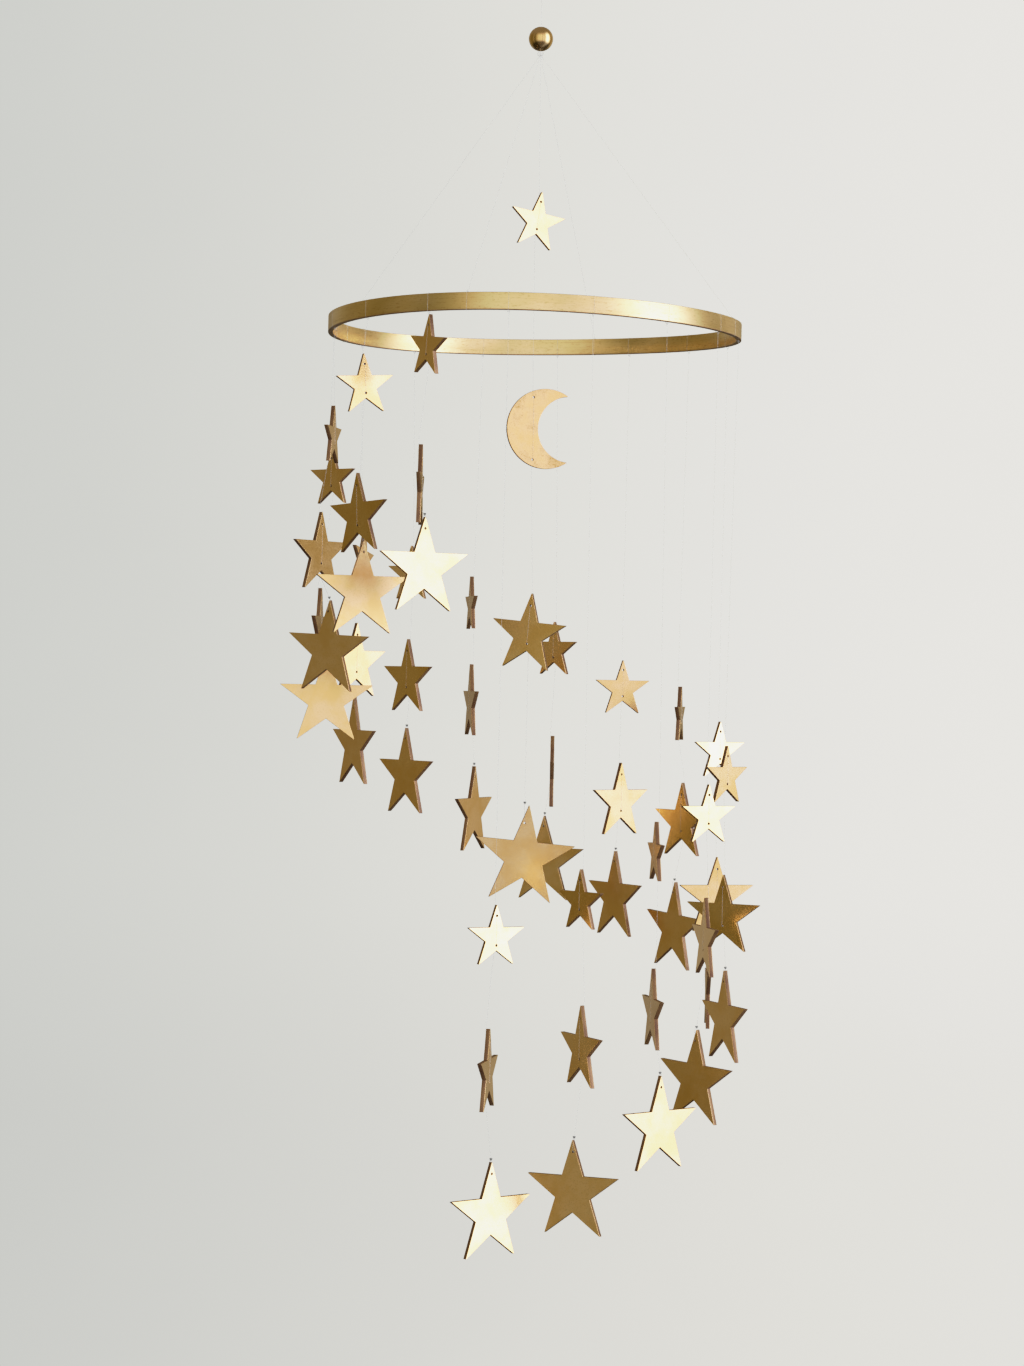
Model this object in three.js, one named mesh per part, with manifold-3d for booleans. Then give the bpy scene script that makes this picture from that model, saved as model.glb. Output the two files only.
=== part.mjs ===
// A hanging star and moon mobile: a wooden hoop on a clear bridle, a centre line with three stars and
// a crescent moon, and sixteen strands of three stars that wind down round the hoop as a spiral.
// Millimetres, +Z up, the front towards -Y. The origin is the top of the hanging loop.

import * as THREE from 'three';
import { mergeVertices } from 'three/addons/utils/BufferGeometryUtils.js';
import Module from 'manifold-3d';

const manifold = await Module();
manifold.setup();

// The hoop: a bent strip of wood, standing on edge, and its mid-height below the top of the loop.
const hoopDiameter = 250;
const hoopHeight = 10;
const hoopWall = 3;
const hoopDrop = 214;
const hoopSides = 48;

// The strip has sprung a little out of flat: it rises here and opposite, and sags a quarter turn away.
const hoopSpring = 1.5;
const hoopSpringAzimuth = -22;

// The bead that gathers the lines, with its middle above the hoop's.
const beadDiameter = 15;
const beadBore = 3;
const beadAboveHoop = 175;
const beadSides = 14;
const beadRings = 7;

// Stars and moon are cut from one board.
const boardThickness = 2.5;
const holeDiameter = 1.4;
const holeSides = 6;

const starArms = 5;

// Each star is measured from arm tip to arm tip. Its holes are drilled below the top tip and,
// where the line runs on through the star, above the notch between its legs.
const small = { width: 36, holeBelowTip: 6.5, holeAboveNotch: 2.8 };
const medium = { width: 48.5, holeBelowTip: 7.8, holeAboveNotch: 4.2 };
const large = { width: 57, holeBelowTip: 7 };
const extraLarge = { width: 61, holeBelowTip: 11 };

// The crescent is a disc with a smaller disc cut out of one side. Its holes lie on the line that
// it balances on, one near the rim above and one below.
const moonDiameter = 48.5;
const moonCutDiameter = 40;
const moonCutOffset = 15;
const moonHoleOffset = 8;
const moonHoleFromRim = 4;
const moonArcSteps = 9;
const moonDrop = 61;
const moonTurn = 14;

// Clear line: its diameter, its knots, and the room that it leaves to the wood.
const lineDiameter = 0.35;
const lineSides = 3;
const knotDiameter = 1.6;
const beadKnotDiameter = 4;
const lineClearance = 0.4;
const knotAboveTip = 2.2;
const loopHeight = 14;
const loopWidth = 8;
const loopPoints = 12;

// Sixteen strands stand evenly round the hoop. The first hangs left of the front, and the next
// ones follow clockwise as seen from above.
const firstStrandAzimuth = -29.75;
const linesOnTheHoop = 4;

// For each strand, its small, medium and large star: the drop of the star's middle below the middle
// of the hoop, the turn of its face from the front and, where it hangs askew, its lean, clockwise from
// the front, and how far it has slipped to the right of the strand's plumb line.
const strands = [
  { small: [24, -55, 6], medium: [105, 89, 0, -3], large: [151, 30] },
  { small: [44, 26, -4, -1], medium: [120, -46, -3, -3], large: [164, 23] },
  { small: [71, 80], medium: [141, 54, 0, -6], large: [198, -31, 2] },
  { small: [93, -40, 0, 1], medium: [185, 84, 0, -5], large: [228, 6] },
  { small: [140, 74, 8, 3], medium: [205, 45], large: [256, -61] },
  { small: [148, -34, 0, 1], medium: [214, -51], large: [275, -53] },
  { small: [166, -80, 0, -4], medium: [229, -80, 0, -3], large: [299, 68] },
  { small: [194, -40, 0, 2], medium: [274, 89, 3, 2], large: [330, -29, 0, -2] },
  { small: [218, 16], medium: [290, 44], large: [351, -57, 0, -2] },
  { small: [234, 80, 0, -1], medium: [301, -50, 0, 2], large: [368, -57, 3, -2] },
  { small: [255, 30], medium: [345, 18], large: [400, 88, 0, -4] },
  { small: [269, 45, 0, -2], medium: [353, -30, 0, -2], large: [415, -67] },
  { small: [291, 27], medium: [364, -77], large: [446, -47, 2, -4] },
  { small: [312, -80], medium: [403, -80], large: [469, 41, 0, 5] },
  { small: [339, -49], medium: [423, -64, 0, 2], large: [504, -27, -1, -1] },
  { small: [360, 28], medium: [437, 79, 0, -3], large: [517, 39] },
];

// The stars of the centre line, with a negative drop where they hang above the hoop.
const topStar = [-64, 26, 8];
const centreMediumStar = [186, -24, 5];
const centreLargeStar = [321, 6, 5];

// Values worked out from the sizes above.
const outerRadius = hoopDiameter / 2;
const innerRadius = outerRadius - hoopWall;
const hangingRadius = outerRadius - hoopWall / 2;
const lineRadius = lineDiameter / 2;
const faceOffset = boardThickness / 2 + lineClearance + lineRadius;
const bandOffset = lineClearance + lineRadius;
const overBand = hoopHeight / 2 + bandOffset;
const underBand = -overBand;
const beadMiddle = -hoopDrop + beadAboveHoop;
const beadKnot = beadMiddle - beadDiameter / 2 - lineClearance - beadKnotDiameter / 2;
const strandStep = 360 / strands.length;
const armStep = (2 * Math.PI) / starArms;

const radians = THREE.MathUtils.degToRad;
const point = (x, y, z) => new THREE.Vector3(x, y, z);

function wood(colour) {
  return new THREE.MeshStandardMaterial({ color: colour, roughness: 0.35, metalness: 0.85 });
}

function clearLine() {
  return new THREE.MeshStandardMaterial({ color: 0xe6e8e6, roughness: 0.1, metalness: 0 });
}

// A radial place on the hoop, seen from above, with azimuth 0 at the front.
function onHoop(azimuth, radius, z) {
  return point(radius * Math.sin(radians(azimuth)), -radius * Math.cos(radians(azimuth)), z);
}

// How far the sprung strip stands above its own mean level.
function hoopLift(azimuth) {
  return hoopSpring * Math.cos(2 * radians(azimuth - hoopSpringAzimuth));
}

// A place beside the band, at a radius and a height from its mid-line.
function besideBand(azimuth, radius, height) {
  return onHoop(azimuth, radius, height - hoopDrop + hoopLift(azimuth));
}

// Star proportions, from the width between the two arm tips of a regular star.
function starSizes(size) {
  const tipRadius = size.width / (2 * Math.sin(armStep));
  const notchRadius = tipRadius * Math.sin(armStep / 4) / Math.sin((3 * armStep) / 4);
  return { tipRadius, notchRadius };
}

// The holes of a star on its own axis, from the top down, before it leans.
function starHoles(size) {
  const { tipRadius, notchRadius } = starSizes(size);
  const heights = [tipRadius - size.holeBelowTip];
  if (size.holeAboveNotch) heights.push(size.holeAboveNotch - notchRadius);
  return heights;
}

// A star that hangs on one hole swings until its middle is under it; one that is threaded through
// two holes keeps them on its own axis.
function leaningHoles(size, [, , lean = 0]) {
  const heights = starHoles(size);
  if (heights.length === 1) return [new THREE.Vector2(0, heights[0])];
  return heights.map((height) => new THREE.Vector2(0, height).rotateAround(new THREE.Vector2(), -radians(lean)));
}

// Corners of a regular outline round a centre.
function ringPoints(centre, radius, sides) {
  return Array.from({ length: sides }, (_, side) => {
    const turn = (2 * Math.PI * side) / sides;
    return new THREE.Vector2(centre.x + radius * Math.cos(turn), centre.y + radius * Math.sin(turn));
  });
}

function holePath(centre) {
  return new THREE.Path(ringPoints(centre, holeDiameter / 2, holeSides));
}

// A shape cut from the board, standing upright with its front towards -Y.
function cutFromBoard(shape) {
  const geometry = new THREE.ExtrudeGeometry(shape, { depth: boardThickness, bevelEnabled: false });
  geometry.translate(0, 0, -boardThickness / 2);
  geometry.rotateX(Math.PI / 2);
  return geometry;
}

function starGeometry(size, piece) {
  const { tipRadius, notchRadius } = starSizes(size);
  const [, , lean = 0] = piece;
  const corners = Array.from({ length: 2 * starArms }, (_, corner) => {
    const radius = corner % 2 === 0 ? tipRadius : notchRadius;
    return new THREE.Vector2(0, radius).rotateAround(new THREE.Vector2(), (armStep / 2) * corner - radians(lean));
  });
  const shape = new THREE.Shape(corners);
  shape.holes = leaningHoles(size, piece).map(holePath);
  return cutFromBoard(shape);
}

// The crescent's holes in its own frame, where the outer disc has its middle at (0, 0).
function moonHoles() {
  const rim = Math.sqrt((moonDiameter / 2) ** 2 - moonHoleOffset ** 2);
  return [rim - moonHoleFromRim, moonHoleFromRim - rim].map((height) => new THREE.Vector2(-moonHoleOffset, height));
}

function moonGeometry() {
  const outer = moonDiameter / 2;
  const inner = moonCutDiameter / 2;
  const hornX = (outer ** 2 - inner ** 2 + moonCutOffset ** 2) / (2 * moonCutOffset);
  const hornAngle = Math.acos(hornX / outer);
  const cutAngle = Math.acos((hornX - moonCutOffset) / inner);
  const shape = new THREE.Shape();
  shape.absarc(0, 0, outer, hornAngle, 2 * Math.PI - hornAngle, false);
  shape.absarc(moonCutOffset, 0, inner, 2 * Math.PI - cutAngle, cutAngle, true);
  const outline = new THREE.Shape(shape.getPoints(moonArcSteps));
  outline.holes = moonHoles().map(holePath);
  return cutFromBoard(outline);
}

function hoopGeometry() {
  const half = hoopHeight / 2;
  const profile = [
    [innerRadius, -half], [outerRadius, -half], [outerRadius, half], [innerRadius, half], [innerRadius, -half],
  ];
  const geometry = new THREE.LatheGeometry(profile.map(([r, z]) => new THREE.Vector2(r, z)), hoopSides);
  geometry.rotateX(Math.PI / 2);
  const corners = geometry.attributes.position;
  for (let corner = 0; corner < corners.count; corner += 1) {
    const azimuth = THREE.MathUtils.radToDeg(Math.atan2(corners.getX(corner), -corners.getY(corner)));
    corners.setZ(corner, corners.getZ(corner) + hoopLift(azimuth));
  }
  return geometry;
}

function beadGeometry() {
  const radius = beadDiameter / 2;
  const mouthAngle = Math.asin(beadBore / beadDiameter);
  const profile = [];
  for (let ring = 0; ring <= beadRings; ring += 1) {
    const angle = mouthAngle + ((Math.PI - 2 * mouthAngle) * ring) / beadRings;
    profile.push(new THREE.Vector2(radius * Math.sin(angle), -radius * Math.cos(angle)));
  }
  profile.push(profile[0].clone());
  return new THREE.LatheGeometry(profile, beadSides).rotateX(Math.PI / 2);
}

// A line's route from corner to corner. Each corner gets one section, square to the bend.
class LineRoute extends THREE.Curve {
  constructor(corners) {
    super();
    this.corners = corners;
  }

  getUtoTmapping(u) {
    return u;
  }

  getPoint(t, target = new THREE.Vector3()) {
    return target.copy(this.corners[Math.round(t * (this.corners.length - 1))]);
  }

  getTangent(t, target = new THREE.Vector3()) {
    const last = this.corners.length - 1;
    const corner = Math.round(t * last);
    const here = this.corners[corner];
    const back = this.corners[Math.max(corner - 1, 0)];
    const ahead = this.corners[Math.min(corner + 1, last)];
    const arriving = here.clone().sub(back).normalize();
    const leaving = ahead.clone().sub(here).normalize();
    return target.copy(arriving).add(leaving).normalize();
  }
}

function lineTube(corners) {
  const section = new THREE.Shape(ringPoints(new THREE.Vector2(), lineRadius, lineSides));
  const route = new LineRoute(corners);
  return new THREE.ExtrudeGeometry(section, { steps: corners.length - 1, bevelEnabled: false, extrudePath: route });
}

function knot(centre, diameter = knotDiameter) {
  const geometry = new THREE.OctahedronGeometry(diameter / 2, 0);
  return geometry.translate(centre.x, centre.y, centre.z);
}

function solid(geometry) {
  const bare = geometry.clone();
  bare.deleteAttribute('normal');
  bare.deleteAttribute('uv');
  const merged = mergeVertices(bare, 1e-5);
  return new manifold.Manifold(new manifold.Mesh({
    numProp: 3,
    vertProperties: new Float32Array(merged.attributes.position.array),
    triVerts: new Uint32Array(merged.index.array),
  }));
}

// One body of lines and knots, joined where they meet.
function joined(geometries) {
  const whole = geometries.map(solid).reduce((sum, next) => sum.add(next)).getMesh();
  const geometry = new THREE.BufferGeometry();
  geometry.setAttribute('position', new THREE.BufferAttribute(whole.vertProperties.slice(), 3));
  geometry.setIndex(new THREE.BufferAttribute(whole.triVerts.slice(), 1));
  geometry.computeVertexNormals();
  return geometry;
}

// Where the middle of a hanging piece is.
function middleOf(axis, [drop, , , aside = 0]) {
  return point(axis.x + aside, axis.y, -hoopDrop - drop);
}

// A board piece's own front view, seen in the hanging frame: x to the side, z up, turned to its place.
function inTurn(axis, piece, x, depth, height) {
  const place = point(x, depth, height).applyAxisAngle(point(0, 0, 1), radians(piece[1]));
  return place.add(middleOf(axis, piece));
}

// The line comes down behind the piece, through the upper hole, over its front and back again.
function threadThrough(axis, piece, holes, top, bottom) {
  const [upper, lower] = holes;
  return [
    inTurn(axis, piece, upper.x, faceOffset, top + lineClearance),
    inTurn(axis, piece, upper.x, faceOffset, upper.y),
    inTurn(axis, piece, upper.x, -faceOffset, upper.y),
    inTurn(axis, piece, lower.x, -faceOffset, lower.y),
    inTurn(axis, piece, lower.x, faceOffset, lower.y),
    inTurn(axis, piece, lower.x, faceOffset, bottom - lineClearance),
  ];
}

function threadStar(axis, piece, size) {
  const { tipRadius, notchRadius } = starSizes(size);
  return threadThrough(axis, piece, leaningHoles(size, piece), tipRadius, -notchRadius);
}

// The last star hangs in a small loop that is knotted above its tip.
function endKnot(axis, piece, size) {
  return inTurn(axis, piece, 0, 0, starSizes(size).tipRadius + knotAboveTip);
}

function endLoop(axis, piece, size) {
  const { tipRadius } = starSizes(size);
  const [hole] = leaningHoles(size, piece);
  const top = endKnot(axis, piece, size);
  return [
    top,
    inTurn(axis, piece, 0, -faceOffset, tipRadius),
    inTurn(axis, piece, 0, -faceOffset, hole.y),
    inTurn(axis, piece, 0, faceOffset, hole.y),
    inTurn(axis, piece, 0, faceOffset, tipRadius),
    top,
  ];
}

// A strand's line takes one turn round the band, from its tail under the band up the outside, and
// leaves from under the middle of the band.
function strandTie(azimuth) {
  return [
    besideBand(azimuth, hangingRadius + knotDiameter / 2, underBand),
    besideBand(azimuth, outerRadius + bandOffset, underBand),
    besideBand(azimuth, outerRadius + bandOffset, overBand),
    besideBand(azimuth, innerRadius - bandOffset, overBand),
    besideBand(azimuth, innerRadius - bandOffset, underBand),
    besideBand(azimuth, hangingRadius, underBand - knotDiameter / 2),
  ];
}

// A leg of the bridle comes down on the band, goes round it and ends inside it, under itself.
function bridleTie(azimuth) {
  return [
    besideBand(azimuth, hangingRadius, overBand),
    besideBand(azimuth, outerRadius + bandOffset, overBand),
    besideBand(azimuth, outerRadius + bandOffset, underBand),
    besideBand(azimuth, innerRadius - bandOffset, underBand),
    besideBand(azimuth, innerRadius - bandOffset, overBand),
  ];
}

// One strand: its turn round the hoop, the run through two stars, and the loop that ends it.
function strandLine(index) {
  const strand = strands[index];
  const azimuth = firstStrandAzimuth - strandStep * index;
  const axis = onHoop(azimuth, hangingRadius, 0);
  const end = endKnot(axis, strand.large, large);
  const run = [
    ...strandTie(azimuth),
    ...threadStar(axis, strand.small, small),
    ...threadStar(axis, strand.medium, medium),
    end,
  ];
  return [
    lineTube(run),
    knot(end),
    lineTube(endLoop(axis, strand.large, large)),
  ];
}

// One length of line serves neighbouring strands and runs along the top edge of the hoop between them.
function hoopLine(number) {
  const perLine = strands.length / linesOnTheHoop;
  const first = number * perLine;
  const indices = Array.from({ length: perLine }, (_, step) => first + step);
  const azimuths = indices.map((index) => firstStrandAzimuth - strandStep * index);
  const stepsBetween = 2;
  const stretch = [];
  for (let step = 0; step <= stepsBetween * (perLine - 1); step += 1) {
    const azimuth = azimuths[0] - (strandStep * step) / stepsBetween;
    stretch.push(besideBand(azimuth, hangingRadius, overBand));
  }
  return joined([lineTube(stretch), ...indices.flatMap(strandLine)]);
}

// The loop above the bead, the line through the bead, the bridle and the centre line.
function hangingLine() {
  const centreAxis = point(0, 0, 0);
  const gather = point(0, 0, beadKnot);
  const loopFoot = point(0, 0, -loopHeight);
  const loop = Array.from({ length: loopPoints + 1 }, (_, step) => {
    const turn = (2 * Math.PI * step) / loopPoints;
    const widening = (loopWidth / 2 - lineRadius) * Math.sin(turn);
    return point(widening, 0, -lineRadius - (loopHeight - lineRadius) * (1 + Math.cos(turn)) / 2);
  });
  const end = endKnot(centreAxis, centreLargeStar, extraLarge);
  const moonPiece = [moonDrop, moonTurn];
  const moonPlaces = moonHoles().map((hole) => new THREE.Vector2(0, hole.y));
  const moonRim = moonPlaces[0].y + moonHoleFromRim;
  const run = [
    gather,
    ...threadStar(centreAxis, topStar, small),
    ...threadThrough(centreAxis, moonPiece, moonPlaces, moonRim, -moonRim),
    ...threadStar(centreAxis, centreMediumStar, medium),
    end,
  ];
  const pieces = [
    lineTube(loop),
    knot(loopFoot),
    lineTube([loopFoot, gather]),
    knot(gather, beadKnotDiameter),
    lineTube(run),
    knot(end),
    lineTube(endLoop(centreAxis, centreLargeStar, extraLarge)),
  ];
  for (let leg = 0; leg < linesOnTheHoop; leg += 1) {
    const azimuth = firstStrandAzimuth + strandStep / 2 - (360 / linesOnTheHoop) * leg;
    pieces.push(lineTube([gather, ...bridleTie(azimuth)]));
  }
  return joined(pieces);
}

const mobile = new THREE.Group();

function addPiece(name, geometry, material, position = point(0, 0, 0), turn = 0) {
  const mesh = new THREE.Mesh(geometry, material);
  mesh.name = name;
  mesh.position.copy(position);
  mesh.rotation.z = radians(turn);
  mobile.add(mesh);
}

function addStar(name, size, axis, piece) {
  addPiece(name, starGeometry(size, piece), wood(0xc29a5b), middleOf(axis, piece), piece[1]);
}

addPiece('hoop', hoopGeometry(), wood(0xc8a263), point(0, 0, -hoopDrop));
addPiece('bead', beadGeometry(), wood(0xc8a263), point(0, 0, beadMiddle));

const centreAxis = point(0, 0, 0);
const moonPosition = point(moonHoleOffset, 0, 0).applyAxisAngle(point(0, 0, 1), radians(moonTurn));
moonPosition.z = -hoopDrop - moonDrop;
addPiece('crescent_moon', moonGeometry(), wood(0xe0bc82), moonPosition, moonTurn);
addStar('top_star', small, centreAxis, topStar);
addStar('centre_medium_star', medium, centreAxis, centreMediumStar);
addStar('centre_large_star', extraLarge, centreAxis, centreLargeStar);

strands.forEach((strand, index) => {
  const axis = onHoop(firstStrandAzimuth - strandStep * index, hangingRadius, 0);
  const number = String(index + 1).padStart(2, '0');
  addStar(`small_star_${number}`, small, axis, strand.small);
  addStar(`medium_star_${number}`, medium, axis, strand.medium);
  addStar(`large_star_${number}`, large, axis, strand.large);
});

addPiece('hanging_line', hangingLine(), clearLine());
for (let number = 0; number < linesOnTheHoop; number += 1) {
  addPiece(`strand_line_${number + 1}`, hoopLine(number), clearLine());
}

export default mobile;
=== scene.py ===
# %% [markdown]
# A hanging mobile of gilt stars.
#
# The real one is craft work: stars and a crescent moon are cut from thin board by a laser and painted
# gold, a bent wooden strip makes the hoop, and clear line carries it all. Every piece hangs straight
# down from a knot, so its place is one height, one turn about its line and sometimes a lean. This lesson
# reads those three from the packed model and builds each piece again with soft rims, round holes and a
# finish, without moving anything.

# %% Open the packed model
import math

import bmesh
import bpy
from mathutils import Matrix, Vector, geometry


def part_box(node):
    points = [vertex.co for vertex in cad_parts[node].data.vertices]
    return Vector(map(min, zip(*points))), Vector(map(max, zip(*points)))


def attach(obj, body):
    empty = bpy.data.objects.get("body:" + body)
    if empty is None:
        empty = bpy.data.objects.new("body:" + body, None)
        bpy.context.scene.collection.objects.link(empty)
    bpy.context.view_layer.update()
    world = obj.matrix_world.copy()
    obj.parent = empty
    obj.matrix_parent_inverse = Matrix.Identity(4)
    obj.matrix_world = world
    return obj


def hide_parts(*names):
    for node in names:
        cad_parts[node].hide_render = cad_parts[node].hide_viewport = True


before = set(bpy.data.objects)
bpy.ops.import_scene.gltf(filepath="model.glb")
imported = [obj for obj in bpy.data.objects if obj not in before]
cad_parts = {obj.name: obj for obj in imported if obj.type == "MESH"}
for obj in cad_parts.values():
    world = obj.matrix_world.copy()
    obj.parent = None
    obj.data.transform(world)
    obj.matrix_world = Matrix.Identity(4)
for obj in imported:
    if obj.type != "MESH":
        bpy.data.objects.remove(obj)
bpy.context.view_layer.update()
BODY = "root"
MM = 0.001

# %% [markdown]
# The camera comes first, because everything is judged from it. The photograph was taken with a long
# lens from a little below the middle of the mobile, looking level, and held a little askew. A level
# camera keeps upright things upright, so no shift is needed: the hoop is seen from below because it hangs
# above the lens. The lens is given by how many pixels of the picture one radian spans.

# %% Place the camera
PICTURE_WIDTH = 1024
PICTURE_HEIGHT = 1366
PIXELS_PER_RADIAN = 3200
SENSOR = 36.0
CAMERA_PLACE = Vector((-9.3, -1938.5, -429.4)) * MM
CAMERA_ROLL = math.radians(1.21)

camera_data = bpy.data.cameras.new("camera")
camera_data.sensor_width = SENSOR
camera_data.lens = SENSOR * PIXELS_PER_RADIAN / max(PICTURE_WIDTH, PICTURE_HEIGHT)
camera_data.clip_start = 0.05
camera = bpy.data.objects.new("camera", camera_data)
camera.location = CAMERA_PLACE
camera.rotation_euler = (math.radians(90), -CAMERA_ROLL, 0)
bpy.context.scene.collection.objects.link(camera)
bpy.context.scene.camera = camera
print("lens", round(camera_data.lens, 1), "mm")

# %% [markdown]
# A flat piece that hangs on a line can be read from its own solid. Its largest face tells how far it is
# turned from the front. Seen square to that face, the outermost corners of a star are its five tips, so
# their mean is its middle, their distance from it is its size, and the top one shows the lean. The front
# and the back have the same corners, and rounding can tell two of them apart, so corners that nearly
# touch count as one. Reading this from the model keeps every piece exactly where the packed model has it.

# %% Read where a board piece hangs
CORNER_GAP = 0.1 * MM


class Seat:
    """Where a flat piece hangs: its middle, its turn from the front, its lean and its reach."""

    def __init__(self, node):
        self.node = node
        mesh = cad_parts[node].data
        face = max((p for p in mesh.polygons if abs(p.normal.z) < 0.1), key=lambda p: p.area).normal
        if face.y > 1e-6:
            face = -face
        self.turn = math.atan2(face.x, -face.y)
        self.right = Vector((math.cos(self.turn), math.sin(self.turn), 0))
        self.back = Vector((-math.sin(self.turn), math.cos(self.turn), 0))
        flat = sorted({(round(v.co.dot(self.right), 6), round(v.co.z, 6)) for v in mesh.vertices})
        rim = [Vector(flat[i]) for i in geometry.convex_hull_2d([Vector(p) for p in flat])]
        steps = zip([rim[-1]] + rim, rim)
        self.rim = [corner for before, corner in steps if (corner - before).length > CORNER_GAP]
        depths = [v.co.dot(self.back) for v in mesh.vertices]
        self.depth = (min(depths) + max(depths)) / 2
        self.thickness = max(depths) - min(depths)
        self.settle(sum(self.rim, Vector((0, 0))) / len(self.rim))

    def settle(self, middle):
        """Takes this as the middle of the piece, seen square to its face."""
        top = max(self.rim, key=lambda p: p.y)
        self.reach = (top - middle).length
        self.lean = math.atan2(top.x - middle.x, top.y - middle.y)
        place = self.right * middle.x + self.back * self.depth + Vector((0, 0, middle.y))
        self.matrix = Matrix.Translation(place) @ Matrix.Rotation(self.turn, 4, "Z")

    def place(self, x, y, z):
        """A point of the piece's own front view, in the frame."""
        return self.matrix @ Vector((x, y, z))


STRANDS = 16
SIZES = ("small", "medium", "large")
strands = [[Seat(f"{size}_star_{number:02d}") for size in SIZES] for number in range(1, STRANDS + 1)]
centre_stars = [Seat("top_star"), Seat("centre_medium_star"), Seat("centre_large_star")]
print("turns of the first strand:", [round(math.degrees(seat.turn)) for seat in strands[0]])
print("tips counted:", sorted({len(seat.rim) for strand in (*strands, centre_stars) for seat in strand}))

# %% [markdown]
# Clear line is 0.35 mm nylon. On each star it comes down behind the tip, through the drilled hole, over
# the front face and back through the lower hole. The last star of a strand hangs in a small loop that is
# knotted above its tip. A cord is one open curve, so every run is a list of corners that are rounded to
# the bend that such a line takes, and the loops and knots are pieces of their own on it.

# %% Round the corners of a line
LINE = 0.35 * MM
BEND = 0.75 * MM
BEND_STEPS = 4
RUN_SHARE = 1 / 2.2


def rounded(corners, radius=BEND):
    """The corners of a route, each replaced by a short arc that takes under half of either run."""
    route = [corners[0]]
    for before, corner, after in zip(corners, corners[1:], corners[2:]):
        reach = min(radius, (before - corner).length * RUN_SHARE, (after - corner).length * RUN_SHARE)
        start = corner + (before - corner).normalized() * reach
        end = corner + (after - corner).normalized() * reach
        for step in range(BEND_STEPS + 1):
            share = step / BEND_STEPS
            route.append(start.lerp(corner, share).lerp(corner.lerp(end, share), share))
    return route + [corners[-1]]


def line_piece(name, route, closed=False, thickness=LINE):
    """A thin round line along the route."""
    curve = bpy.data.curves.new(name, "CURVE")
    curve.dimensions = "3D"
    curve.bevel_depth = thickness / 2
    curve.bevel_resolution = 1
    curve.use_fill_caps = True
    spline = curve.splines.new("POLY")
    spline.points.add(len(route) - 1)
    for spot, place in zip(spline.points, route):
        spot.co = (*place, 1)
    spline.use_cyclic_u = closed
    drawn = bpy.data.objects.new("drawn_line", curve)
    piece = bpy.data.objects.new(name, bpy.data.meshes.new_from_object(drawn))
    bpy.data.curves.remove(curve)
    for face in piece.data.polygons:
        face.use_smooth = True
    bpy.context.scene.collection.objects.link(piece)
    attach(piece, BODY)
    return piece


print("line", round(LINE / MM, 2), "mm thick, bent to", round(BEND / MM, 2), "mm")

# %% [markdown]
# The holes are drilled a fixed distance below a star's tip, and above the notch between its legs where
# the line runs on. A five-pointed star's notches lie at a fixed share of its reach, so the lower hole's
# place follows from the reach that was read from the model.

# %% Find the holes
NOTCH_SHARE = math.sin(math.radians(18)) / math.sin(math.radians(54))
HOLE_BELOW_TIP = {"small": 6.5 * MM, "medium": 7.8 * MM, "large": 7 * MM, "extra": 11 * MM}
HOLE_ABOVE_NOTCH = {"small": 2.8 * MM, "medium": 4.2 * MM}
LINE_OFF_FACE = 0.2 * MM
LINE_CLEAR = 0.4 * MM
KNOT_ABOVE_TIP = 1.2 * MM


def star_holes(seat, size):
    """The holes of a star in its own front view, from the top down."""
    heights = [seat.reach - HOLE_BELOW_TIP[size]]
    if size not in HOLE_ABOVE_NOTCH:
        return [Vector((0, heights[0]))]
    heights.append(HOLE_ABOVE_NOTCH[size] - seat.reach * NOTCH_SHARE)
    return [Vector((height * math.sin(seat.lean), height * math.cos(seat.lean))) for height in heights]


def through(seat, holes, top, bottom):
    """The line's corners: behind the piece, over its front between the holes, and behind again."""
    off = seat.thickness / 2 + LINE_OFF_FACE
    upper, lower = holes
    return [
        seat.place(upper.x, off, top + LINE_CLEAR), seat.place(upper.x, off, upper.y),
        seat.place(upper.x, -off, upper.y), seat.place(lower.x, -off, lower.y),
        seat.place(lower.x, off, lower.y), seat.place(lower.x, off, bottom - LINE_CLEAR),
    ]


def through_star(seat, size):
    """The line's corners through both holes of a star."""
    return through(seat, star_holes(seat, size), seat.reach, -seat.reach * NOTCH_SHARE)


def end_of_line(seat):
    """The knot above the last star of a line."""
    return seat.place(0, 0, seat.reach + KNOT_ABOVE_TIP)


print("a star's notches lie at", round(NOTCH_SHARE, 3), "of its reach")

# %% [markdown]
# A tie is easy to overlook and shows from every side, so each knot is a real one. An overhand knot pulled
# tight is close to a trefoil, a closed curve with three crossings that has a plain formula. The loop that
# holds a last star is a small closed curve through its hole.

# %% Tie knots and loops
KNOT_STEPS = 40


def trefoil(centre, radius, flatness=0.5):
    """A small tight knot round a point."""
    route = []
    for step in range(KNOT_STEPS):
        angle = 2 * math.pi * step / KNOT_STEPS
        across = math.sin(angle) + 2 * math.sin(2 * angle)
        along = math.cos(angle) - 2 * math.cos(2 * angle)
        deep = -math.sin(3 * angle)
        route.append(centre + Vector((across, deep * 3 * flatness, along)) * radius / 3)
    return route


def star_loop(name, seat, size):
    """The small loop through the hole of a last star."""
    off = seat.thickness / 2 + LINE_OFF_FACE
    hole = star_holes(seat, size)[0]
    knot = seat.reach + KNOT_ABOVE_TIP
    corners = [
        seat.place(0, 0, knot), seat.place(0, -off, seat.reach), seat.place(0, -off, hole.y),
        seat.place(0, off, hole.y), seat.place(0, off, seat.reach), seat.place(0, 0, knot),
    ]
    return line_piece(name, rounded(corners))


print("a knot has", len(trefoil(Vector(), KNOT_ABOVE_TIP)), "corners")

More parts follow.
